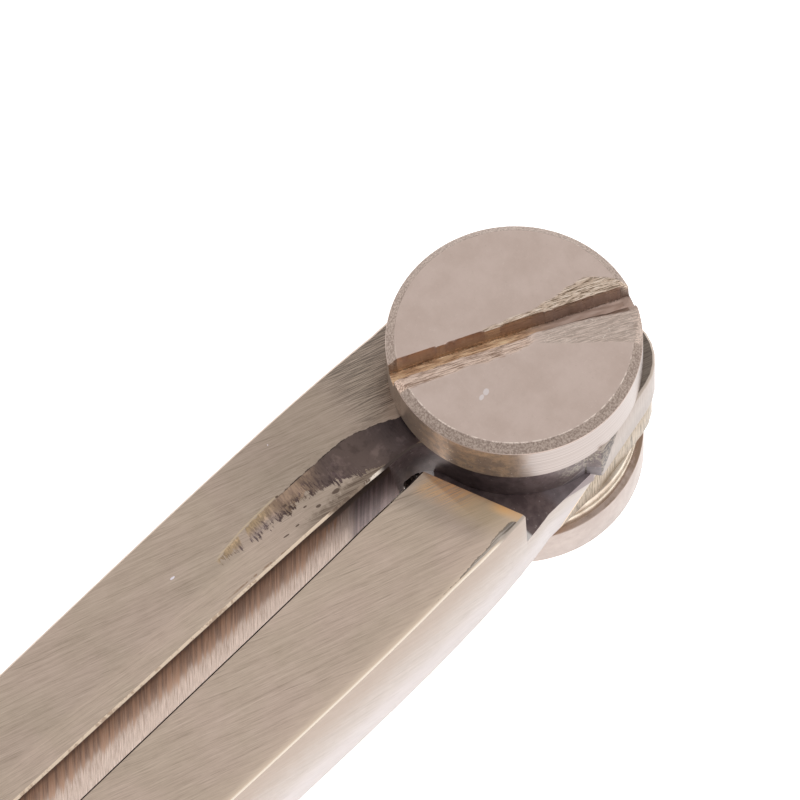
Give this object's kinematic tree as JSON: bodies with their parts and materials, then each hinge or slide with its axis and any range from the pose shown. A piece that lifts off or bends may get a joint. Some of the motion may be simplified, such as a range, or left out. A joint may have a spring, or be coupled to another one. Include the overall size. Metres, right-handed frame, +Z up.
{
  "type": "chart divider",
  "caption": "Straight chart divider: two tapered legs with steel points, joined by a half-lap pivot under a large slotted screw head",
  "frame": {"origin": "centre of the pivot post's flat round underside, on the axis of the pivot", "axes": "+Z up along the pivot to the slotted screw head, +Y away from the points along the closed legs, -X on the left leg's side"},
  "size_m": [0.0133, 0.1709, 0.0125],
  "materials": {
    "leg_metal": "brushed, worn nickel silver",
    "screw_metal": "satin, worn nickel silver",
    "washer_metal": "satin",
    "point_steel": "ground"
  },
  "bodies": {
    "right_side": {"right_leg": "leg_metal", "right_point": "point_steel", "pivot_post": "screw_metal", "pivot_screw": "screw_metal", "upper_washer": "washer_metal", "lower_washer": "washer_metal"},
    "left_side": {"left_leg": "leg_metal", "left_point": "point_steel"}
  },
  "joints": [
    {"name": "leg_hinge", "type": "hinge", "parent": "right_side", "child": "left_side", "pos_m": [0, 0, 0.00678], "axis": [0, 0, -1], "range_deg": [0, 180]}
  ]
}
